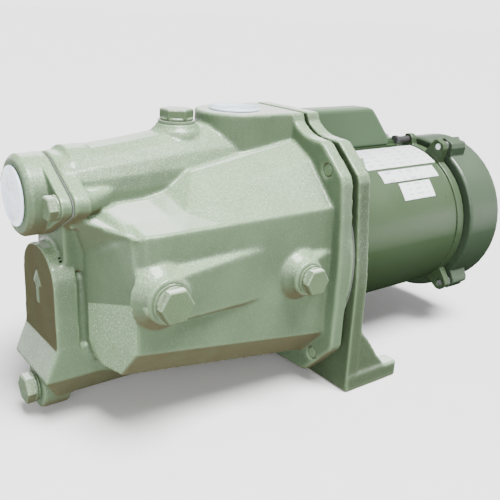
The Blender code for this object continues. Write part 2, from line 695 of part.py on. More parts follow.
def vane_outline(start, inner, outer, sweep, thickness, steps=5):
    """Curved vane seen along the shaft: a thick arc from the eye to the rim."""
    sides = ([], [])
    for i in range(steps + 1):
        share = i / steps
        radius = inner + (outer - inner) * share
        angle = start + sweep * share
        spread = thickness / 2 / radius
        for side, sign in zip(sides, (-1, 1)):
            side.append((radius * math.cos(angle + sign * spread), radius * math.sin(angle + sign * spread)))
    return sides[0] + sides[1][::-1]


def make_impeller():
    centre = (0, 0, SHAFT_Z)
    impeller = turned("impeller", (
        (-48 * MM, 6.3 * MM), (-48 * MM, 9.5 * MM), (-42 * MM, 11 * MM), (-38.5 * MM, 14 * MM),
        (-37.5 * MM, 46 * MM), (-35 * MM, 46 * MM), (-35 * MM, 11 * MM), (-33.5 * MM, 11 * MM),
        (-33.5 * MM, 6.3 * MM),
    ), centre, segments=24)
    shroud = turned("shroud", (
        (-54.5 * MM, 17 * MM), (-54.5 * MM, 19 * MM), (-49 * MM, 19.8 * MM), (-45.8 * MM, 46 * MM),
        (-44 * MM, 46 * MM), (-46.8 * MM, 17.4 * MM),
    ), centre, segments=24)
    vanes = []
    for i in range(6):
        outline = vane_outline(math.radians(60 * i), 15 * MM, 45.6 * MM, math.radians(-62), 2.2 * MM)
        placed = [(y, z + SHAFT_Z) for y, z in outline]
        vanes.append(prism_x("vane", placed, -46.4 * MM, -37 * MM))
    unite(impeller, *vanes, shroud)
    set_finish(impeller, BRASS)
    move_origin(impeller, centre)

    nut = prism_x("impeller_nut", [(y, z + SHAFT_Z) for y, z in hexagon_profile(9 * MM)],
                  -54.5 * MM, -48.3 * MM)
    cut(nut, rod("nut_bore", -60 * MM, -40 * MM, 6.3 * MM, centre))
    set_finish(nut, BRASS)
    move_origin(nut, centre)


def make_shaft_seal():
    centre = (0, 0, SHAFT_Z)
    head = turned("seal_head", (
        (-33.1 * MM, 7.8 * MM), (-33.1 * MM, 13 * MM), (-31.4 * MM, 13 * MM), (-30.6 * MM, 11.8 * MM),
        (-26.8 * MM, 11.8 * MM), (-26.2 * MM, 10.4 * MM), (-24.9 * MM, 10.4 * MM), (-24.9 * MM, 7.8 * MM),
    ), centre, finish=CARBON)
    move_origin(head, centre)
    tube("seal_seat", -24.5 * MM, -19 * MM, 8.2 * MM, 13 * MM, centre, finish=CERAMIC)
    slinger = turned("water_slinger", (
        (-14.5 * MM, 7.8 * MM), (-14.5 * MM, 9.5 * MM), (-13 * MM, 10 * MM), (-12.6 * MM, 13.5 * MM),
        (-11 * MM, 13.5 * MM), (-10.6 * MM, 7.8 * MM),
    ), centre, finish=BLACK_RUBBER)
    move_origin(slinger, centre)


def make_gasket():
    gasket = tube("casing_gasket", GASKET_FRONT, GASKET_FRONT + GASKET, 74 * MM, LAND_RADIUS - 0.8 * MM,
                  (0, 0, SHAFT_Z), segments=64)
    keep_common(gasket, prism_x("gasket_limit", mirrored(flange_outline(PLATEAU_Z, 2 * MM)),
                                FLANGE_FRONT, BRACKET_REAR))
    set_finish(gasket, FIBRE)


# ---------------------------------------------------------------- bracket and bolts

def bracket_outline():
    """Near half of the bracket plate: the flange's shape above, straight down to the floor below."""
    upper = [point for point in flange_outline(PLATEAU_Z, 2.6 * MM) if point[1] > 120 * MM]
    upper[-1] = (-86.2 * MM, 126 * MM)
    edge = -FOOT_HALF_WIDTH + 0.4 * MM
    return upper + [(edge + 0.6 * MM, 92 * MM), (edge, 80 * MM), (edge, 4 * MM)]


def make_bracket():
    centre = (0, 0, SHAFT_Z)
    bracket = prism_x("motor_bracket", mirrored(bracket_outline()), BRACKET_FRONT, BRACKET_REAR)
    foot = box("foot", (BRACKET_FRONT + 0.3 * MM, -FOOT_HALF_WIDTH, 0),
               (FOOT_REAR, FOOT_HALF_WIDTH, FOOT_HEIGHT))
    unite(bracket, foot)
    for side in (-1, 1):
        outer = (FOOT_HALF_WIDTH - 0.8 * MM) * side
        inner = (FOOT_HALF_WIDTH - 11.5 * MM) * side
        gusset = prism_y("gusset", (
            (BRACKET_REAR - 2 * MM, 46 * MM), (BRACKET_REAR, 46 * MM), (-4.6 * MM, 34 * MM),
            (2.9 * MM, 23.5 * MM), (12.5 * MM, 12.5 * MM), (14 * MM, 5 * MM), (BRACKET_REAR - 2 * MM, 5 * MM),
        ), outer, inner)
        unite(bracket, gusset)
        slot = box("slot", (4 * MM, SLOT_Y * side - SLOT_WIDTH / 2, -5 * MM),
                   (40 * MM, SLOT_Y * side + SLOT_WIDTH / 2, 22 * MM))
        end = rod("slot_end", -4 * MM, 21 * MM, SLOT_WIDTH / 2, (4 * MM, SLOT_Y * side, 0), "z", 20)
        unite(slot, end)
        cut(bracket, slot)
    spigot = tube("spigot", BRACKET_REAR - 1 * MM, BRACKET_REAR + 7 * MM, 49.5 * MM,
                  SHELL_RADIUS - SHELL_WALL - GAP, centre, segments=48)
    collar = tube("collar", BRACKET_REAR - 1.2 * MM, BRACKET_REAR + 6 * MM, SHELL_RADIUS + GAP,
                  SHELL_RADIUS + 4 * MM, centre, segments=48)
    hub = rod("hub", BRACKET_REAR - 1.4 * MM, 7 * MM, 24 * MM, centre, segments=28)
    unite(bracket, spigot, collar, hub)
    for i in range(4):
        angle = math.radians(45 + 90 * i)
        web = box("web", (BRACKET_REAR - 0.8 * MM, -3 * MM, 20 * MM), (-8.5 * MM, 3 * MM, 53 * MM))
        web.data.transform(Matrix.Translation(centre) @ Matrix.Rotation(angle, 4, "X"))
        unite(bracket, web)
    seal_bore = rod("seal_bore", -30 * MM, -18.7 * MM, 13.3 * MM, centre)
    shaft_bore = rod("shaft_bore", -30 * MM, -10 * MM, 9 * MM, centre)
    slinger_room = rod("slinger_room", -15.6 * MM, -2 * MM, 15 * MM, centre)
    bearing_bore = rod("bearing_bore", -7 * MM, 12 * MM, 17.5 * MM + GAP, centre)
    cut(bracket, seal_bore, shaft_bore, slinger_room, bearing_bore)
    cut(bracket, bolt_holes(-30 * MM, -10 * MM), tie_holes(-20 * MM, -6 * MM))
    set_finish(bracket, GREEN_CAST)


def make_flange_bolts():
    index = 0
    for z in (SHAFT_Z + BOLT_OFFSET, SHAFT_Z - BOLT_OFFSET):
        for y in (-BOLT_OFFSET, BOLT_OFFSET):
            index += 1
            seat = BRACKET_REAR + GAP
            hex_screw(f"flange_bolt_{index}", (seat, y, z), "x", 13 * MM, 5.5 * MM, 0.8 * MM, BOLT_RADIUS,
                      seat - FLANGE_FRONT - 0.6 * MM, ZINC)


# ---------------------------------------------------------------- motor

TIE_CIRCLE = 52.8 * MM


def tie_bolt_places():
    return [(TIE_CIRCLE * math.cos(math.radians(a)), SHAFT_Z + TIE_CIRCLE * math.sin(math.radians(a)))
            for a in (0, 90, 180, 270)]


def tie_holes(x0, x1):
    return grouped([rod("tie_hole", x0, x1, 2.4 * MM + GAP, (0, y, z), segments=12)
                    for y, z in tie_bolt_places()])


def make_shaft():
    centre = (0, 0, SHAFT_Z)
    shaft = turned("motor_shaft", (
        (-56.5 * MM, 0), (-56.5 * MM, 5.4 * MM), (-55.9 * MM, 6 * MM), (-33.2 * MM, 6 * MM),
        (-33.2 * MM, 7.5 * MM), (6.6 * MM, 7.5 * MM), (6.6 * MM, 9 * MM), (100 * MM, 9 * MM),
        (100 * MM, 6 * MM), (127 * MM, 6 * MM), (127 * MM, 5 * MM), (149.4 * MM, 5 * MM),
        (150 * MM, 4.4 * MM), (150 * MM, 0),
    ), centre, segments=18, finish=STEEL)
    move_origin(shaft, centre)


def make_bearing(name, x0, x1, bore, outer):
    """Sealed ball bearing as one ring, with the seal's groove on the open face."""
    dent = 0.6 * MM
    low = bore + 2.4 * MM
    high = outer - 2.4 * MM
    turned(name, (
        (x0, bore), (x0, low), (x0 + dent, low), (x0 + dent, high), (x0, high), (x0, outer),
        (x1, outer), (x1, bore),
    ), (0, 0, SHAFT_Z), segments=20, finish=STEEL)


def make_rotor():
    centre = (0, 0, SHAFT_Z)
    rotor = turned("rotor_core", (
        (STATOR_FRONT - 8 * MM, 19 * MM), (STATOR_FRONT - 8 * MM, 26 * MM), (STATOR_FRONT, 27.6 * MM),
        (STATOR_REAR, 27.6 * MM), (STATOR_REAR + 8 * MM, 26 * MM), (STATOR_REAR + 8 * MM, 19 * MM),
        (STATOR_REAR, 18 * MM), (STATOR_REAR, 9.3 * MM), (STATOR_FRONT, 9.3 * MM), (STATOR_FRONT, 18 * MM),
    ), centre, segments=24, finish=LAMINATION)
    move_origin(rotor, centre)


def make_stator():
    """Round laminations with four flats, which leave room for the tie bolts."""
    centre = (0, 0, SHAFT_Z)
    radius = SHELL_RADIUS - SHELL_WALL - GAP
    core = rod("stator_core", STATOR_FRONT, STATOR_REAR, radius, centre, segments=48)
    flat = TIE_CIRCLE - 3.4 * MM
    limit = box("flats", (0, -flat, SHAFT_Z - flat), (100 * MM, flat, SHAFT_Z + flat))
    keep_common(core, limit)
    cut(core, rod("stator_bore", 0, 110 * MM, 28.3 * MM, centre, segments=24))
    set_finish(core, LAMINATION)
    ends = (("winding_front", 9 * MM, STATOR_FRONT - GAP), ("winding_rear", STATOR_REAR + GAP, 96 * MM))
    for name, x0, x1 in ends:
        middle = (x0 + x1) / 2
        turned(name, (
            (x0, 35 * MM), (x0, 43 * MM), (middle, 47.5 * MM), (x1, 45 * MM), (x1, 32.5 * MM),
            (middle, 31 * MM),
        ), centre, segments=20, finish=COPPER)


def make_shell():
    centre = (0, 0, SHAFT_Z)
    tube("motor_shell", BRACKET_REAR + GAP, SHELL_REAR, SHELL_RADIUS - SHELL_WALL, SHELL_RADIUS, centre,
         segments=48, finish=GREEN_SHEET)


def radial_block(name, x0, x1, low, high, half_width, angle, taper=0.0):
    """Block standing out from the shaft axis at an angle, measured up from the near side."""
    points = []
    for x in (x0, x1):
        rings = ((low, half_width + taper), (high - 3 * MM, half_width), (high, half_width - 2.5 * MM))
        for radius, half in rings:
            points += [(x, -radius, -half), (x, -radius, half)]
    block = hull(name, points)
    turn = Matrix.Rotation(math.radians(-angle), 4, "X")
    block.data.transform(Matrix.Translation((0, 0, SHAFT_Z)) @ turn)
    return block


def lug_point(angle, radius=LUG_RADIUS):
    a = math.radians(angle)
    return (-radius * math.cos(a), SHAFT_Z + radius * math.sin(a))


def make_end_bell():
    centre = (0, 0, SHAFT_Z)
    front = SHELL_REAR + GAP
    bell = turned("rear_end_bell", (
        (111 * MM, 48 * MM), (111 * MM, SHELL_RADIUS - SHELL_WALL - GAP),
        (front, SHELL_RADIUS - SHELL_WALL - GAP), (front, 61 * MM), (BELL_REAR - 1.5 * MM, 61 * MM),
        (BELL_REAR, 59.5 * MM), (BELL_REAR, 7 * MM), (117.5 * MM, 7 * MM), (117.5 * MM, 16 * MM + GAP),
        (103 * MM, 16 * MM + GAP), (103 * MM, 21 * MM), (121 * MM, 22 * MM), (122 * MM, 47 * MM),
    ), centre, segments=48)
    for angle in LUG_ANGLES:
        unite(bell, radial_block("bell_lug", front + 0.4 * MM, BELL_LUG_REAR, 55 * MM, 75.5 * MM, 6.5 * MM,
                                 angle, 3 * MM))
        y, z = lug_point(angle)
        cut(bell, rod("lug_hole", 100 * MM, 130 * MM, 2.5 * MM + GAP, (0, y, z), segments=16))
    unite(bell, radial_block("lead_boss", front + 0.4 * MM, 124 * MM, 56 * MM, 69.5 * MM, 5 * MM, 92,
                             1.5 * MM))
    y, z = lug_point(92, 65 * MM)
    cut(bell, rod("lead_hole", 115 * MM, 123 * MM, 2.75 * MM + GAP, (0, y, z), segments=16))
    cut(bell, tie_holes(105 * MM, 130 * MM))
    set_finish(bell, GREEN_SHEET)


def make_fan_cover():
    centre = (0, 0, SHAFT_Z)
    wall = 1.6 * MM
    cover = turned("fan_cover", (
        (COVER_FRONT, 58 * MM), (COVER_FRONT, COVER_RADIUS - 1.4 * MM), (COVER_FRONT + 1.4 * MM, COVER_RADIUS),
        (COVER_REAR - 3 * MM, COVER_RADIUS),
        (COVER_REAR - 0.9 * MM, COVER_RADIUS - 0.9 * MM), (COVER_REAR, COVER_RADIUS - 3 * MM), (COVER_REAR, 0),
        (COVER_REAR - wall, 0), (COVER_REAR - wall, COVER_RADIUS - 3.6 * MM),
        (COVER_REAR - 3.4 * MM, COVER_RADIUS - wall), (COVER_FRONT + wall, COVER_RADIUS - wall),
        (COVER_FRONT + wall, 58 * MM),
    ), centre, segments=48)
    for angle in LUG_ANGLES:
        unite(cover, radial_block("cover_lug", COVER_FRONT, 147 * MM, COVER_RADIUS - 1 * MM, 75.5 * MM, 7 * MM,
                                  angle, 2 * MM))
        y, z = lug_point(angle)
        cut(cover, rod("lug_hole", 120 * MM, 150 * MM, 2.5 * MM + GAP, (0, y, z), segments=16))
        cut(cover, rod("head_recess", 144 * MM, 150 * MM, 4.6 * MM, (0, y, z), segments=20))
    vents = []
    for i in range(14):
        vent = box("vent", (COVER_REAR - 5 * MM, -2 * MM, 20 * MM), (COVER_REAR + 5 * MM, 2 * MM, 46 * MM))
        vent.data.transform(Matrix.Translation(centre) @ Matrix.Rotation(math.tau * (i + 0.2) / 14, 4, "X"))
        vents.append(vent)
    cut(cover, grouped(vents))
    set_finish(cover, GREEN_SHEET)


def make_cover_screws():
    for index, angle in enumerate(LUG_ANGLES, 1):
        y, z = lug_point(angle)
        seat = 144 * MM + GAP
        collar = BELL_LUG_REAR + GAP
        screw = turned(f"fan_cover_screw_{index}", (
            (119 * MM, 0), (119 * MM, 2.5 * MM), (collar, 2.5 * MM), (collar, 4 * MM),
            (COVER_FRONT - GAP, 4 * MM), (COVER_FRONT - GAP, 2.5 * MM), (seat, 2.5 * MM), (seat, 4.3 * MM),
            (seat + 2.2 * MM, 4 * MM), (seat + 2.8 * MM, 3 * MM), (seat + 2.8 * MM, 0),
        ), (0, y, z), segments=14)
        slot = box("slot", (seat + 1.6 * MM, y - 5 * MM, z - 0.6 * MM),
                   (seat + 4 * MM, y + 5 * MM, z + 0.6 * MM))
        cut(screw, slot)
        set_finish(screw, ZINC)


def make_fan():
    centre = (0, 0, SHAFT_Z)
    fan = turned("cooling_fan", (
        (131 * MM, 5.3 * MM), (131 * MM, 11 * MM), (133 * MM, 12 * MM), (133 * MM, 55.5 * MM),
        (135 * MM, 55.5 * MM), (135 * MM, 12 * MM), (147 * MM, 10.5 * MM), (147 * MM, 5.3 * MM),
    ), centre, segments=20)
    for i in range(8):
        blade = box("blade", (134 * MM, -1 * MM, 9 * MM), (146 * MM, 1 * MM, 56 * MM))
        blade.data.transform(Matrix.Translation(centre) @ Matrix.Rotation(math.radians(45 * i), 4, "X"))
        unite(fan, blade)
    set_finish(fan, BLACK_PLASTIC)
    move_origin(fan, centre)


def make_tie_bolts():
    for index, (y, z) in enumerate(tie_bolt_places(), 1):
        head = BELL_REAR + GAP
        profile = ((-19.6 * MM, 0), (-19.6 * MM, 2.4 * MM), (head, 2.4 * MM), (head, 4.2 * MM),
                   (head + 2.4 * MM, 3.6 * MM), (head + 2.4 * MM, 0))
        turned(f"tie_bolt_{index}", profile, (0, y, z), segments=16, finish=ZINC)


# ---------------------------------------------------------------- terminal box, lead and labels

def saddle(name, x0, x1, inner, outer, start, end, steps, finish=None):
    """Curved strip on the shell; angles are measured up from the near side."""
    outline = []
    for radius, first, last in ((outer, start, end), (inner, end, start)):
        for i in range(steps + 1):
            angle = math.radians(first + (last - first) * i / steps)
            outline.append((-radius * math.cos(angle), SHAFT_Z + radius * math.sin(angle)))
    return prism_x(name, outline, x0, x1, finish)


BASE_OUTER = SHELL_RADIUS + GAP + 2 * MM


def hood_block(name, inset):
    """Outer shape of the terminal box's hood, or its inside when inset: it slopes down to the far side."""
    low = 110 * MM - 3 * inset
    front = -8 * MM + inset
    rear = 90 * MM - inset
    top = BOX_TOP - inset
    length = prism_y(name, (
        (front, low), (front, top - 2 * MM), (front + 2 * MM, top + 0.3 * MM),
        (62 * MM - inset, top + 0.3 * MM),
        (68 * MM - inset, top - 1.6 * MM), (72 * MM - inset, top - 5.5 * MM), (rear, 158 * MM), (rear, low),
    ), -20 * MM, 70 * MM)
    section = [(BOX_NEAR, 0), (BOX_NEAR, 182 * MM), (BOX_NEAR + 0.6 * MM, 183.4 * MM),
               (BOX_NEAR + 2 * MM, BOX_TOP),
               (18 * MM, 183 * MM), (28 * MM, 181 * MM), (36 * MM, 177.6 * MM), (42 * MM, 173 * MM),
               (46 * MM, 167 * MM), (BOX_FAR, 160 * MM), (BOX_FAR, 0)]
    middle = (BOX_NEAR + BOX_FAR) / 2
    outline = []
    for y, z in section:
        outline.append((y + inset if y < middle else y - inset, z - inset if z > 0 else 90 * MM))
    keep_common(length, prism_x("hood_section", outline, -20 * MM, 110 * MM))
    return length


def make_terminal_box():
    far_angle = 90 + math.degrees(math.asin((BOX_FAR + 1 * MM) / BASE_OUTER))
    base = saddle("terminal_box_base", -7.5 * MM, 101 * MM, SHELL_RADIUS + GAP, BASE_OUTER, 88.5, far_angle,
                  16)
    pad = box("pad", (83 * MM, 2 * MM, 150.5 * MM), (101 * MM, 18 * MM, 155 * MM))
    unite(base, pad)
    cut(base, rod("base_screw_hole", 151 * MM, 160 * MM, 1.8 * MM, (95 * MM, 8 * MM, 0), "z", 16))
    set_finish(base, GREEN_SHEET)

    hood = hood_block("terminal_box_hood", 0)
    cut(hood, hood_block("hood_inside", 2 * MM))
    tongue = box("tongue", (87 * MM, 3 * MM, 155.3 * MM), (100.5 * MM, 17 * MM, 157.3 * MM))
    unite(hood, tongue)
    cut(hood, rod("saddle_cut", -30 * MM, 110 * MM, BASE_OUTER + GAP, (0, 0, SHAFT_Z), segments=64))
    cut(hood, box("pad_clearance", (82.5 * MM, 1.5 * MM, 145 * MM), (101.5 * MM, 18.5 * MM, 155.3 * MM)))
    cut(hood, rod("hood_screw_hole", 150 * MM, 160 * MM, 2.1 * MM, (95 * MM, 8 * MM, 0), "z", 16))
    set_finish(hood, GREEN_SHEET)

    screw = turned("terminal_box_screw", (
        (152 * MM, 0), (152 * MM, 1.5 * MM), (157.6 * MM, 1.5 * MM), (157.6 * MM, 3.8 * MM),
        (158.8 * MM, 3.7 * MM), (159.9 * MM, 2.4 * MM), (159.9 * MM, 0),
    ), (95 * MM, 8 * MM, 0), "z", 16)
    cut(screw, box("slot_a", (91 * MM, 7.5 * MM, 158.9 * MM), (99 * MM, 8.5 * MM, 161 * MM)))
    set_finish(screw, ZINC)

    rod("run_capacitor", -2 * MM, 58 * MM, 14.3 * MM, (0, 17.5 * MM, 165 * MM), segments=32, chamfer=1.5 * MM,
        finish=GREY_PLASTIC)
    block = box("terminal_block", (10 * MM, 36 * MM, 148.5 * MM), (44 * MM, 44.5 * MM, 160 * MM))
    for i in range(3):
        cut(block, rod("clamp", 156 * MM, 162 * MM, 2.6 * MM, ((16 + 11 * i) * MM, 40 * MM, 0), "z", 12))
    set_finish(block, WHITE_PLASTIC)


def make_lead():
    """Gland on the base's rear end and the short sleeved lead into the end bell."""
    y, z = lug_point(92, 65 * MM)
    turned("cable_gland", (
        (101 * MM + GAP, 0), (101 * MM + GAP, 3.9 * MM), (104 * MM, 3.9 * MM), (104.6 * MM, 3.3 * MM),
        (106 * MM, 3.1 * MM), (106 * MM, 0),
    ), (0, y, z), segments=18, finish=BLACK_PLASTIC)
    rod("motor_lead", 106 * MM + GAP, 122.5 * MM, 2.75 * MM, (0, y, z), segments=16, finish=BLACK_RUBBER)


def make_labels():
    inner = SHELL_RADIUS + GAP
    outer = inner + 0.4 * MM
    saddle("nameplate", 37 * MM, 115.5 * MM, inner, outer, 58.5, 87, 14, PAPER)
    saddle("sticker_1", 45.5 * MM, 108.5 * MM, inner, outer, 45.6, 56, 5, PAPER)
    saddle("sticker_2", 59.5 * MM, 95 * MM, inner, outer, 30.3, 43.8, 6, PAPER)


def main():
    clear_scene()
    make_pump_casing()
    make_suction_flange()
    make_plugs()
    make_check_valve()
    make_ejector()
    make_guide_housing()
    make_impeller()
    make_shaft_seal()
    make_gasket()
    make_bracket()
    make_flange_bolts()
    make_shaft()
    make_bearing("front_bearing", -6.5 * MM, 4.5 * MM, 7.5 * MM + GAP, 17.5 * MM)
    make_bearing("rear_bearing", 104 * MM, 114 * MM, 6 * MM + GAP, 16 * MM)
    make_rotor()
    make_stator()
    make_shell()
    make_end_bell()
    make_fan_cover()
    make_cover_screws()
    make_fan()
    make_tie_bolts()
    make_terminal_box()
    make_lead()
    make_labels()


main()
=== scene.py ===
"""Looks for the shallow well jet pump: softened castings, enamel, metals, plastics, light and camera."""

import json
import math

import bmesh
import bpy
from mathutils import Matrix, Vector


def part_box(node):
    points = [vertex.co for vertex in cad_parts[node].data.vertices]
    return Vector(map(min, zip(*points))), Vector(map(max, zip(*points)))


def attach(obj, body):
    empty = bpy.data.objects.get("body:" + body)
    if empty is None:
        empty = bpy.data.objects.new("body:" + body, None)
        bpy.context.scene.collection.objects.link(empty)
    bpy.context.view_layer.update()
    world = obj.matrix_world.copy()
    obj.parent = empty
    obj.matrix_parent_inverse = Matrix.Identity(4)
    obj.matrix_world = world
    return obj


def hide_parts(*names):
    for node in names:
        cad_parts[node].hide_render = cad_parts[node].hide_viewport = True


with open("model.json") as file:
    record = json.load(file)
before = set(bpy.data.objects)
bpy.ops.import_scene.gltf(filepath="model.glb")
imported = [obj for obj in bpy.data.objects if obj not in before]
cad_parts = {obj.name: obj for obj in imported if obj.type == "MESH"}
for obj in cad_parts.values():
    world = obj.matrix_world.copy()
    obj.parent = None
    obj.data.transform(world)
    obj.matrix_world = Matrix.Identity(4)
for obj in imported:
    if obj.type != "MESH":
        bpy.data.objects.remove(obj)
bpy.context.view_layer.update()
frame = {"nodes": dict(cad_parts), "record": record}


NODES = frame["nodes"]
MM = 0.001

BODY_OF = {}
for body, members in frame["record"]["behaviour"]["bodies"].items():
    for member in members:
        BODY_OF[member] = body

# Sizes of the CAD nodes that their boxes don't give
SHELL_WALL = 2.4 * MM
SUCTION_BOSS_RADIUS = 24 * MM
BELL_RADIUS = 61 * MM
COVER_RADIUS = 66.3 * MM
CAP_RIM_HEIGHT = 2.4 * MM
CAP_SKIRT_RADIUS = 14.6 * MM

# Linear colours
SAGE = (0.080, 0.118, 0.069)
# Painted light: the lighter, sunlit colour of the castings' tops, and a painted highlight for their flat
# tops.
SAGE_SUNLIT = (0.205, 0.310, 0.175)
SAGE_HIGHLIGHT = (0.66, 0.72, 0.64)
BRACKET_SAGE = (0.040, 0.058, 0.031)
# Painted shade: the dark olive given to faces that look down.
SHADE_OLIVE = (0.062, 0.059, 0.034)
SHEET_GREEN = (0.034, 0.056, 0.027)
BOX_GREEN = (0.066, 0.106, 0.060)
COVER_GREEN = (0.034, 0.054, 0.031)
MILKY = (0.70, 0.79, 0.90)
WHITE_FILM = (0.80, 0.82, 0.84)
PRINT_GREY = (0.40, 0.41, 0.45)
RUBBER = (0.02, 0.02, 0.02)
BLACK = (0.03, 0.03, 0.033)
GREY = (0.30, 0.32, 0.34)
BRASS = (0.72, 0.52, 0.24)
STEEL = (0.55, 0.56, 0.58)
ZINC = (0.72, 0.74, 0.76)
IRON = (0.22, 0.23, 0.25)
COPPER = (0.62, 0.27, 0.12)
CARBON = (0.05, 0.05, 0.055)
CERAMIC = (0.80, 0.78, 0.73)
FIBRE = (0.10, 0.11, 0.10)


# ---------------------------------------------------------------- materials

class Nodes:
    """A node tree with short names for the few nodes these materials share."""

    def __init__(self, name, roughness=0.5, metallic=0.0):
        self.material = bpy.data.materials.new(name)
        self.material.use_nodes = True
        self.tree = self.material.node_tree
        self.shader = self.tree.nodes["Principled BSDF"]
        self.shader.inputs["Roughness"].default_value = roughness
        self.shader.inputs["Metallic"].default_value = metallic
        self.place = self.tree.nodes.new("ShaderNodeTexCoord").outputs["Object"]

    def join(self, source, target):
        self.tree.links.new(source, target)

    def noise(self, scale, detail=4.0, stretch=None, roughness=0.5):
        node = self.tree.nodes.new("ShaderNodeTexNoise")
        node.inputs["Scale"].default_value = scale
        node.inputs["Detail"].default_value = detail
        node.inputs["Roughness"].default_value = roughness
        place = self.place
        if stretch:
            mapping = self.tree.nodes.new("ShaderNodeMapping")
            mapping.inputs["Scale"].default_value = stretch
            self.join(place, mapping.inputs["Vector"])
            place = mapping.outputs["Vector"]
        self.join(place, node.inputs["Vector"])
        return node.outputs["Fac"]

    def ramp(self, source, low, high, to_low=0.0, to_high=1.0):
        node = self.tree.nodes.new("ShaderNodeMapRange")
        for name, value in (("From Min", low), ("From Max", high), ("To Min", to_low), ("To Max", to_high)):
            node.inputs[name].default_value = value
        self.join(source, node.inputs["Value"])
        return node.outputs["Result"]

    def maths(self, operation, first, second=None):
        node = self.tree.nodes.new("ShaderNodeMath")
        node.operation = operation
        for socket, value in zip(node.inputs, (first, second)):
            if value is None:
                continue
            if isinstance(value, (int, float)):
                socket.default_value = value
            else:
                self.join(value, socket)
        return node.outputs[0]

    def mix(self, factor, first, second):
        node = self.tree.nodes.new("ShaderNodeMix")
        node.data_type = "RGBA"
        self.join(factor, node.inputs["Factor"])
        for socket, value in ((node.inputs[6], first), (node.inputs[7], second)):
            if isinstance(value, tuple):
                socket.default_value = (*value, 1.0)
            else:
                self.join(value, socket)
        return node.outputs[2]

    def facing(self, axis="Z"):
        geometry = self.tree.nodes.new("ShaderNodeNewGeometry")
        split = self.tree.nodes.new("ShaderNodeSeparateXYZ")
        self.join(geometry.outputs["Normal"], split.inputs["Vector"])
        return split.outputs[axis]

    def place_along(self, axis):
        split = self.tree.nodes.new("ShaderNodeSeparateXYZ")
        self.join(self.place, split.inputs["Vector"])
        return split.outputs[axis]

    def lit_front_facet(self, start, end):
        """Mask for painted light: forward faces between two values of x, below a crease that climbs away from
        the middle.
        """
        along = self.place_along("X")
        span = self.maths("MULTIPLY", self.ramp(along, start - 0.5 * MM, start),
                          self.ramp(along, end + 0.5 * MM, end))
        aside = self.maths("ABSOLUTE", self.place_along("Y"))
        above = self.maths("SUBTRACT", self.place_along("Z"), self.maths("MULTIPLY", aside, 0.29))
        below = self.maths("MULTIPLY", self.ramp(above, 74 * MM, 73 * MM), self.ramp(aside, 28 * MM, 29 * MM))
        forward = self.ramp(self.facing("X"), -0.80, -0.93)
        return self.maths("MULTIPLY", self.maths("MULTIPLY", span, below), forward)

    def edges(self, low, high):
        geometry = self.tree.nodes.new("ShaderNodeNewGeometry")
        return self.ramp(geometry.outputs["Pointiness"], low, high)

    def bump(self, height, strength, distance, before=None):
        node = self.tree.nodes.new("ShaderNodeBump")
        node.inputs["Strength"].default_value = strength
        node.inputs["Distance"].default_value = distance
        self.join(height, node.inputs["Height"])
        if before:
            self.join(before, node.inputs["Normal"])
        return node.outputs["Normal"]

    def finish(self, colour, normal=None, roughness=None):
        self.join(colour, self.shader.inputs["Base Color"])
        if normal:
            self.join(normal, self.shader.inputs["Normal"])
        if roughness:
            self.join(roughness, self.shader.inputs["Roughness"])
        return self.material


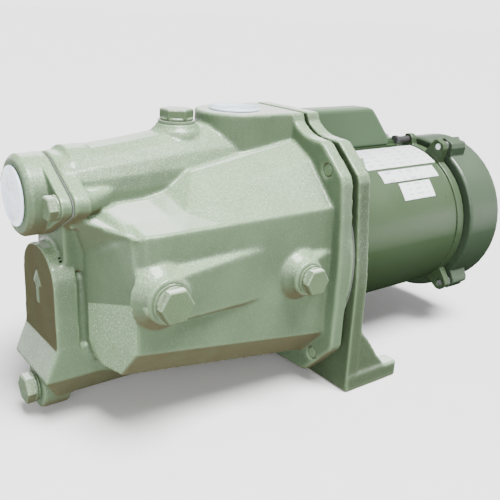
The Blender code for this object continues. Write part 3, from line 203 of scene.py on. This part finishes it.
def cast_enamel(name, side=SAGE, sunlit_top=SAGE_SUNLIT, shaded_front=None, lit_front_facet=None):
    """Thick enamel over a sand casting, with light and shade painted into its colour: lighter grain on top
    with painted glints and highlights, and a dark olive painted shade on faces that look down.

    A range of x for straight-forward faces gives those faces the painted olive shade too.
    A range of x for the front facet paints forward faces below the body's crease lighter, as painted light.
    """
    n = Nodes(name)
    up = n.facing()
    shade = tuple(0.82 * value for value in side)
    wall = n.mix(n.ramp(n.noise(30, 5), 0.35, 0.68), side, shade)
    grain = n.noise(750, 2)
    # Painted light: faces that look up are mixed towards the lighter sunlit colour, with lighter grain on
    # them.
    lit = n.ramp(n.maths("ADD", up, n.ramp(n.noise(45, 4), 0.3, 0.7, -0.08, 0.08)), 0.15, 0.98)
    roof = n.mix(n.ramp(grain, 0.42, 0.64), sunlit_top, tuple(min(1.0, 1.3 * value) for value in sunlit_top))
    # Painted highlight: faces that look straight up turn an almost white green.
    flat_top_highlight = n.mix(n.ramp(up, 0.955, 1.0), roof, SAGE_HIGHLIGHT)
    tone = n.mix(lit, wall, flat_top_highlight)
    # Painted glints: pale specks, mostly on faces that look up, stand in for glints of the light from above.
    glint_share = n.ramp(up, 0.0, 0.6, 0.04, 0.45)
    # Painted light: forward faces below the body's crease are mixed towards the sunlit colour and get more
    # painted glints.
    if lit_front_facet:
        panel = n.lit_front_facet(*lit_front_facet)
        tone = n.mix(n.maths("MULTIPLY", panel, 0.55), tone, sunlit_top)
        glint_share = n.maths("MAXIMUM", glint_share, n.maths("MULTIPLY", panel, 0.5))
    painted_glints = n.maths("MULTIPLY", n.ramp(n.noise(1500, 1), 0.58, 0.70), glint_share)
    tone = n.mix(painted_glints, tone, (0.62, 0.70, 0.60))
    # Painted highlight along sharp edges.
    edge_highlight = n.mix(n.maths("MULTIPLY", n.edges(0.50, 0.57), 0.45), tone, sunlit_top)
    # Painted shade: faces that look down, and forward faces inside the given range of x, take the dark olive.
    shaded_under = n.ramp(up, -0.10, -0.60)
    if shaded_front:
        along = n.place_along("X")
        band = n.maths("MULTIPLY", n.ramp(along, shaded_front[0] - 0.2 * MM, shaded_front[0]),
                       n.ramp(along, shaded_front[1] + 0.2 * MM, shaded_front[1]))
        shaded_under = n.maths("MAXIMUM", shaded_under, n.maths("MULTIPLY", band, n.ramp(n.facing("X"), -0.85, -0.97)))
    painted_shade = n.maths("MULTIPLY", shaded_under, n.ramp(n.noise(70, 6), 0.3, 0.6, 0.88, 1.0))
    skin = n.mix(painted_shade, edge_highlight, SHADE_OLIVE)
    peel = n.bump(n.noise(260, 3), 0.25, 0.5 * MM)
    sand = n.maths("MULTIPLY", grain, n.ramp(up, 0.15, 0.85, 0.45, 1.0))
    normal = n.bump(sand, 0.9, 0.7 * MM, peel)
    gloss = n.maths("MULTIPLY", n.ramp(up, 0.0, 0.6, 0.02, 0.5), n.ramp(painted_shade, 0.0, 0.8, 1.0, 0.0))
    n.join(gloss, n.shader.inputs["Specular IOR Level"])
    n.join(gloss, n.shader.inputs["Coat Weight"])
    n.shader.inputs["Coat Roughness"].default_value = 0.16
    return n.finish(skin, normal, n.ramp(n.noise(240, 4), 0.3, 0.7, 0.34, 0.52))


def sheet_enamel(name, colour, low=0.26, high=0.42, waviness=0.15):
    """Smooth sprayed enamel with a faint orange peel and a little dust, with light and shade painted in:
    lighter tops, a painted highlight on edges and darker undersides.
    """
    n = Nodes(name)
    up = n.facing()
    dusty = tuple(0.9 * value + 0.008 for value in colour)
    tone = n.mix(n.ramp(n.noise(26, 6), 0.38, 0.7), colour, dusty)
    # Painted highlight along sharp edges.
    wear_and_edge_sheen = n.mix(n.edges(0.51, 0.57), tone, tuple(min(1.0, 1.35 * value) for value in colour))
    sunlit = n.mix(n.ramp(up, 0.2, 1.0, 0.0, 0.8), wear_and_edge_sheen, tuple(2.0 * value for value in colour))
    # Painted shade: faces that look down are darkened towards a quarter of the colour.
    underside_shade = n.mix(n.ramp(up, 0.15, -0.75, 0.0, 0.9), sunlit, tuple(0.25 * value for value in colour))
    normal = n.bump(n.noise(420, 2), waviness, 0.25 * MM)
    gloss = n.ramp(up, -0.05, 0.6, 0.0, 0.5)
    n.join(gloss, n.shader.inputs["Specular IOR Level"])
    n.join(gloss, n.shader.inputs["Coat Weight"])
    n.shader.inputs["Coat Roughness"].default_value = 0.2
    return n.finish(underside_shade, normal, n.ramp(n.noise(55, 5), 0.3, 0.7, low, high))


def metal(name, colour, roughness=0.3, stretch=(1, 1, 1), scale=500, relief=0.12):
    n = Nodes(name, metallic=1.0)
    stain = tuple(0.72 * value for value in colour)
    tone = n.mix(n.ramp(n.noise(90, 5), 0.35, 0.75), colour, stain)
    lines = n.noise(scale, 4, stretch)
    polish = n.ramp(lines, 0.3, 0.7, roughness - 0.08, roughness + 0.12)
    return n.finish(tone, n.bump(lines, relief, 0.1 * MM), polish)


def moulded(name, colour, roughness=0.45, relief=0.1):
    n = Nodes(name)
    wear_and_edge_sheen = tuple(0.9 * value + 0.02 for value in colour)
    tone = n.mix(n.ramp(n.noise(120, 5), 0.35, 0.7), colour, wear_and_edge_sheen)
    pores = n.noise(900, 2)
    polish = n.ramp(n.noise(160, 4), 0.3, 0.7, roughness - 0.08, roughness + 0.1)
    return n.finish(tone, n.bump(pores, relief, 0.15 * MM), polish)


def milky_plastic(name):
    n = Nodes(name)
    tone = n.mix(n.ramp(n.noise(150, 5), 0.35, 0.7), MILKY, tuple(0.86 * value for value in MILKY))
    n.shader.inputs["Subsurface Weight"].default_value = 0.35
    n.shader.inputs["Subsurface Scale"].default_value = 2 * MM
    n.shader.inputs["Coat Weight"].default_value = 0.2
    polish = n.ramp(n.noise(200, 4), 0.3, 0.7, 0.22, 0.42)
    return n.finish(tone, n.bump(n.noise(260, 3), 0.15, 0.2 * MM), polish)


def laminated(name):
    """Stacked sheets seen from the side: fine rings along the shaft."""
    n = Nodes(name, metallic=1.0)
    sheets = n.noise(300, 2, (8, 0.05, 0.05))
    tone = n.mix(n.ramp(sheets, 0.4, 0.6), IRON, tuple(0.6 * value for value in IRON))
    return n.finish(tone, n.bump(sheets, 0.5, 0.2 * MM), n.ramp(n.noise(150, 4), 0.3, 0.7, 0.4, 0.6))


def wound(name):
    """Varnished wire turned round the shaft."""
    n = Nodes(name)
    wires = n.noise(240, 3, (3, 0.2, 0.2))
    tone = n.mix(n.ramp(wires, 0.4, 0.62), COPPER, tuple(0.35 * value for value in COPPER))
    n.shader.inputs["Metallic"].default_value = 0.6
    return n.finish(tone, n.bump(wires, 0.8, 0.6 * MM), n.ramp(n.noise(200, 4), 0.3, 0.7, 0.3, 0.5))


def printed_film(name, node, shaft_z, rows_mm):
    """Film wrapped round the shell, with plain grey bars where its print would be."""
    n = Nodes(name)
    low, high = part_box(node)
    along = n.place_along("X")
    angle = n.maths("ARCTAN2", n.maths("SUBTRACT", n.place_along("Z"), shaft_z),
                    n.maths("MULTIPLY", n.place_along("Y"), -1.0))
    row = n.maths("FRACT", n.maths("MULTIPLY", angle, 60.0 / rows_mm))
    line = n.maths("MULTIPLY", n.ramp(row, 0.30, 0.36), n.ramp(row, 0.74, 0.68))
    broken = n.ramp(n.noise(150, 1.0, (1.0, 0.05, 0.05)), 0.50, 0.53)
    left = n.ramp(along, low.x + 3.5 * MM, low.x + 4 * MM)
    right = n.ramp(along, high.x - 3.5 * MM, high.x - 4 * MM)
    ink = n.maths("MULTIPLY", n.maths("MULTIPLY", line, broken), n.maths("MULTIPLY", left, right))
    film = n.mix(n.ramp(n.noise(60, 4), 0.35, 0.7), WHITE_FILM, tuple(0.93 * value for value in WHITE_FILM))
    tone = n.mix(n.maths("MULTIPLY", ink, 0.55), film, PRINT_GREY)
    polish = n.ramp(n.noise(120, 3), 0.3, 0.7, 0.28, 0.42)
    return n.finish(tone, n.bump(n.noise(180, 3), 0.08, 0.2 * MM), polish)


# ---------------------------------------------------------------- geometry tools

def add_object(name, mesh):
    obj = bpy.data.objects.new(name, mesh)
    bpy.context.scene.collection.objects.link(obj)
    return obj


def baked(obj):
    """Replace an object's mesh with the result of its modifiers."""
    depsgraph = bpy.context.evaluated_depsgraph_get()
    mesh = bpy.data.meshes.new_from_object(obj.evaluated_get(depsgraph))
    obj.modifiers.clear()
    obj.data = mesh


def stand_in(obj, node, material):
    obj.data.materials.clear()
    obj.data.materials.append(material)
    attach(obj, BODY_OF[node])
    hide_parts(node)


def softened(node, material, voxel, rounds, extras=()):
    """Copy of a CAD node with its edges rounded as casting, drawing or paint leaves them."""
    bm = bmesh.new()
    bm.from_mesh(NODES[node].data)
    for extra in extras:
        bm.from_mesh(extra)
    bmesh.ops.remove_doubles(bm, verts=bm.verts, dist=2e-6)
    mesh = bpy.data.meshes.new(node + "_soft")
    bm.to_mesh(mesh)
    bm.free()
    obj = add_object(node + "_soft", mesh)
    remesh = obj.modifiers.new("remesh", "REMESH")
    remesh.mode = "VOXEL"
    remesh.voxel_size = voxel
    smooth = obj.modifiers.new("smooth", "SMOOTH")
    smooth.factor = 0.5
    smooth.iterations = rounds
    baked(obj)
    obj.data.shade_smooth()
    stand_in(obj, node, material)
    return obj


def round_off(obj, centre, radius, start, end, band=0.4 * MM):
    """Bring a stand-in's faceted cylinder along x to its true radius, between two values of x."""
    for vertex in obj.data.vertices:
        spot = vertex.co
        offset = Vector((spot.y - centre[0], spot.z - centre[1]))
        if start < spot.x < end and abs(offset.length - radius) < band:
            offset *= radius / offset.length
            vertex.co = (spot.x, centre[0] + offset.x, centre[1] + offset.y)
    obj.data.update()


def give(material, *nodes):
    for node in nodes:
        NODES[node].data.materials.clear()
        NODES[node].data.materials.append(material)


def prism_mesh(outline, axis_from, axis_to):
    """Closed mesh through an outline of (y, z) points, from one x to another."""
    bm = bmesh.new()
    first = [bm.verts.new((axis_from, y, z)) for y, z in outline]
    second = [bm.verts.new((axis_to, y, z)) for y, z in outline]
    count = len(outline)
    for i in range(count):
        j = (i + 1) % count
        bm.faces.new((first[i], first[j], second[j], second[i]))
    bm.faces.new(first)
    bm.faces.new(second)
    bmesh.ops.recalc_face_normals(bm, faces=bm.faces)
    mesh = bpy.data.meshes.new("relief")
    bm.to_mesh(mesh)
    bm.free()
    return mesh


def turned(node, profile, centre, axis, material, segments=96):
    """Body of revolution standing in for a node; profile is (distance along the axis, radius)."""
    bm = bmesh.new()
    along = Vector(axis)
    across = along.orthogonal().normalized()
    start = Vector(centre)
    verts = [bm.verts.new(start + along * d + across * r) for d, r in profile]
    edges = [bm.edges.new(pair) for pair in zip(verts, verts[1:])]
    bmesh.ops.spin(bm, geom=[*verts, *edges], cent=start, axis=along, angle=math.tau, steps=segments,
                   use_merge=True)
    bmesh.ops.remove_doubles(bm, verts=bm.verts, dist=1e-6)
    bmesh.ops.recalc_face_normals(bm, faces=bm.faces)
    mesh = bpy.data.meshes.new(node + "_turned")
    bm.to_mesh(mesh)
    bm.free()
    mesh.shade_smooth()
    mesh.set_sharp_from_angle(angle=math.radians(50))
    obj = add_object(node + "_turned", mesh)
    stand_in(obj, node, material)
    return obj


def rounded(points, radius, steps=4):
    """Outline with each inner corner replaced by a short curve."""
    result = [points[0]]
    for before, corner, after in zip(points, points[1:], points[2:]):
        corner_v = Vector(corner)
        back = Vector(before) - corner_v
        ahead = Vector(after) - corner_v
        reach = min(radius, back.length * 0.45, ahead.length * 0.45)
        start = corner_v + back.normalized() * reach
        end = corner_v + ahead.normalized() * reach
        for i in range(steps + 1):
            t = i / steps
            point = start * (1 - t) ** 2 + corner_v * 2 * t * (1 - t) + end * t ** 2
            result.append((point.x, point.y))
    result.append(points[-1])
    return result


# ---------------------------------------------------------------- pieces

def middle(node):
    low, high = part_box(node)
    return (low + high) / 2


SHAFT_Z = middle("motor_shaft").z


HOUSING_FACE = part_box("ejector_nozzle")[0].x - 6.3 * MM


def flow_arrow():
    """Plain raised arrow on the ejector housing's flat front, pointing the way the water goes."""
    face = HOUSING_FACE
    foot = SHAFT_Z - 14 * MM
    outline = [(y * MM, foot + z * MM) for y, z in (
        (-2.5, 0), (2.5, 0), (2.5, 12), (7, 12), (0, 22), (-7, 12), (-2.5, 12))]
    return prism_mesh(outline, face - 0.9 * MM, face + 2 * MM)


def make_castings():
    enamel = cast_enamel("cast_enamel")
    # Painted shade on the housing's flat front, and painted light on the forward faces below the crease.
    housing = cast_enamel("casing_enamel", shaded_front=(HOUSING_FACE - 0.5 * MM, HOUSING_FACE + 0.7 * MM),
                          lit_front_facet=(HOUSING_FACE + 18 * MM, HOUSING_FACE + 31 * MM))
    softened("pump_casing", housing, 1.1 * MM, 4, [flow_arrow()])
    bracket = cast_enamel("bracket_enamel", BRACKET_SAGE)
    softened("motor_bracket", bracket, 1.1 * MM, 4)
    give(bracket, *[f"flange_bolt_{i}" for i in range(1, 5)])
    flange = softened("suction_flange", enamel, 0.7 * MM, 3)
    low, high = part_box("suction_flange")
    middle_z = (low.z + high.z) / 2
    round_off(flange, (0, middle_z), SUCTION_BOSS_RADIUS, low.x + 2.4 * MM, low.x + 11 * MM)
    # The second colour is the plugs' sunlit top, which is painted light.
    plug_enamel = cast_enamel("plug_enamel", (0.075, 0.112, 0.060), (0.20, 0.27, 0.17))
    plugs = ("priming_plug", "side_plug_1", "side_plug_2", "drain_plug")
    for node in (*plugs, "suction_bolt_1", "suction_bolt_2"):
        softened(node, plug_enamel, 0.35 * MM, 2)
    for node in ("priming_plug_washer", "side_plug_washer_1", "side_plug_washer_2", "drain_plug_washer"):
        give(plug_enamel, node)


def make_motor_covers():
    axis = (0, SHAFT_Z)
    bell = softened("rear_end_bell", sheet_enamel("bell_enamel", SHEET_GREEN), 0.8 * MM, 3)
    low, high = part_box("rear_end_bell")
    round_off(bell, axis, BELL_RADIUS, low.x + 7 * MM, high.x - 1.8 * MM)
    cover = softened("fan_cover", sheet_enamel("cover_enamel", COVER_GREEN, 0.38, 0.55), 0.8 * MM, 3)
    low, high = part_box("fan_cover")
    round_off(cover, axis, COVER_RADIUS, low.x + 1.6 * MM, high.x - 3.2 * MM)
    softened("terminal_box_hood", sheet_enamel("hood_enamel", BOX_GREEN, 0.36, 0.50), 0.7 * MM, 10)
    low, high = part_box("motor_shell")
    radius = (high.z - low.z) / 2
    inner = radius - SHELL_WALL
    outer = radius + 0.1 * MM
    profile = rounded([
        (low.x, inner), (low.x, outer), (high.x, outer), (high.x, inner), (low.x, inner)], 0.6 * MM)
    turned("motor_shell", profile, (0, 0, SHAFT_Z), (1, 0, 0), sheet_enamel("shell_enamel", SHEET_GREEN), 160)


def make_caps():
    """Push-in caps with a rolled rim, a recessed disc and a skirt that goes into the port."""
    plastic = milky_plastic("cap_plastic")
    for node, axis in (("suction_transit_plug", (-1, 0, 0)), ("discharge_transit_plug", (0, 0, 1))):
        low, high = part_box(node)
        if axis[2]:
            face = high.z - CAP_RIM_HEIGHT
            centre = (middle(node).x, middle(node).y, face)
            rim = (high.x - low.x) / 2
        else:
            face = low.x + CAP_RIM_HEIGHT
            centre = (face, middle(node).y, middle(node).z)
            rim = (high.z - low.z) / 2
        skirt = CAP_SKIRT_RADIUS
        profile = rounded([
            (1.5 * MM, 0), (1.5 * MM, 4 * MM), (0.9 * MM, 5 * MM), (0.9 * MM, 12.8 * MM),
            (1.6 * MM, 13.6 * MM), (2.35 * MM, 15 * MM), (2.3 * MM, 16.4 * MM), (1.6 * MM, rim),
            (0.4 * MM, rim), (0.4 * MM, skirt), (-11 * MM, skirt - 0.5 * MM), (-12 * MM, skirt - 1.2 * MM),
            (-12 * MM, skirt - 2.2 * MM), (-0.9 * MM, skirt - 2.2 * MM), (-0.9 * MM, 0)], 0.7 * MM, 3)
        turned(node, profile, centre, axis, plastic)


def finish_carried_nodes():
    give(sheet_enamel("base_enamel", SHEET_GREEN), "terminal_box_base")
    give(moulded("fibre", FIBRE, 0.75, 0.3), "casing_gasket", "suction_gasket")
    give(metal("turned_brass", BRASS, 0.28, (1, 8, 8)), "check_valve_seat", "ejector_nozzle", "impeller_nut")
    give(metal("cast_brass", BRASS, 0.42, relief=0.35), "impeller")
    give(moulded("rubber", RUBBER, 0.65, 0.25), "check_valve_flap", "water_slinger", "motor_lead")
    give(moulded("black_plastic", BLACK, 0.42), "venturi_tube", "guide_housing", "cooling_fan", "cable_gland")
    give(moulded("grey_plastic", GREY, 0.4), "run_capacitor")
    give(moulded("white_plastic", MILKY, 0.4), "terminal_block")
    give(moulded("carbon", CARBON, 0.4, 0.2), "seal_head")
    give(moulded("ceramic", CERAMIC, 0.25, 0.05), "seal_seat")
    give(metal("zinc", ZINC, 0.3), "terminal_box_screw", *[f"tie_bolt_{i}" for i in range(1, 5)],
         *[f"fan_cover_screw_{i}" for i in range(1, 4)])
    give(metal("ground_steel", STEEL, 0.25, (12, 1, 1)), "motor_shaft", "front_bearing", "rear_bearing")
    give(laminated("laminations"), "rotor_core", "stator_core")
    give(wound("windings"), "winding_front", "winding_rear")
    for node, rows in (("nameplate", 5.2), ("sticker_1", 7.5), ("sticker_2", 4.2)):
        give(printed_film(node + "_film", node, SHAFT_Z, rows), node)


# ---------------------------------------------------------------- stage

def make_floor():
    bm = bmesh.new()
    bmesh.ops.create_grid(bm, x_segments=8, y_segments=8, size=40.0)
    mesh = bpy.data.meshes.new("floor")
    bm.to_mesh(mesh)
    bm.free()
    floor = add_object("floor", mesh)
    floor.location.z = -0.2 * MM
    n = Nodes("floor_paper", roughness=0.95)
    n.shader.inputs["Specular IOR Level"].default_value = 0.1
    n.finish(n.mix(n.ramp(n.noise(30, 3), 0.3, 0.7), (0.84, 0.84, 0.84), (0.82, 0.82, 0.82)))
    floor.data.materials.append(n.material)


def add_light(name, kind, place, target, energy):
    data = bpy.data.lights.new(name, kind)
    data.energy = energy
    light = bpy.data.objects.new(name, data)
    light.location = place
    light.rotation_euler = (Vector(target) - Vector(place)).to_track_quat("-Z", "Y").to_euler()
    bpy.context.scene.collection.objects.link(light)
    return data


def make_lights():
    """A wide soft light from above and a weaker panel on the near side, in a pale room."""
    world = bpy.data.worlds.new("studio")
    bpy.context.scene.world = world
    world.use_nodes = True
    tree = world.node_tree
    place = tree.nodes.new("ShaderNodeTexCoord")
    split = tree.nodes.new("ShaderNodeSeparateXYZ")
    tree.links.new(place.outputs["Generated"], split.inputs["Vector"])
    height = tree.nodes.new("ShaderNodeMapRange")
    for name, value in (("From Min", 0.03), ("From Max", 0.16), ("To Min", 3.0), ("To Max", 0.45)):
        height.inputs[name].default_value = value
    tree.links.new(split.outputs["Z"], height.inputs["Value"])
    background = tree.nodes["Background"]
    background.inputs["Color"].default_value = (1.0, 1.0, 1.0, 1.0)
    tree.links.new(height.outputs["Result"], background.inputs["Strength"])
    target = (-0.03, 0, 0.1)
    sun = add_light("overhead", "SUN", (0.05, -0.40, 1.2), target, 10.5)
    sun.angle = math.radians(30)
    panel = add_light("panel", "AREA", (-0.85, -1.0, 0.50), target, 11.0)
    panel.shape = "RECTANGLE"
    panel.size = 0.9
    panel.size_y = 0.5


CAMERA_PLACE = Vector((-0.3414, -0.3832, 0.2501))
CAMERA_AZIMUTH = math.radians(-37.55)
CAMERA_ELEVATION = math.radians(19.11)
CAMERA_ROLL = math.radians(2.96)


def make_camera():
    back = Vector((math.sin(CAMERA_AZIMUTH) * math.cos(CAMERA_ELEVATION),
                   -math.cos(CAMERA_AZIMUTH) * math.cos(CAMERA_ELEVATION), math.sin(CAMERA_ELEVATION)))
    level = Vector((math.cos(CAMERA_AZIMUTH), math.sin(CAMERA_AZIMUTH), 0))
    upright = back.cross(level)
    right = level * math.cos(CAMERA_ROLL) + upright * math.sin(CAMERA_ROLL)
    up = upright * math.cos(CAMERA_ROLL) - level * math.sin(CAMERA_ROLL)
    data = bpy.data.cameras.new("camera")
    data.sensor_width = 36.0
    data.lens = 49.28
    data.clip_start = 0.01
    camera = bpy.data.objects.new("camera", data)
    camera.matrix_world = Matrix.Translation(CAMERA_PLACE) @ Matrix((right, up, back)).transposed().to_4x4()
    bpy.context.scene.collection.objects.link(camera)
    bpy.context.scene.camera = camera


make_camera()
make_castings()
make_motor_covers()
make_caps()
finish_carried_nodes()
make_floor()
make_lights()
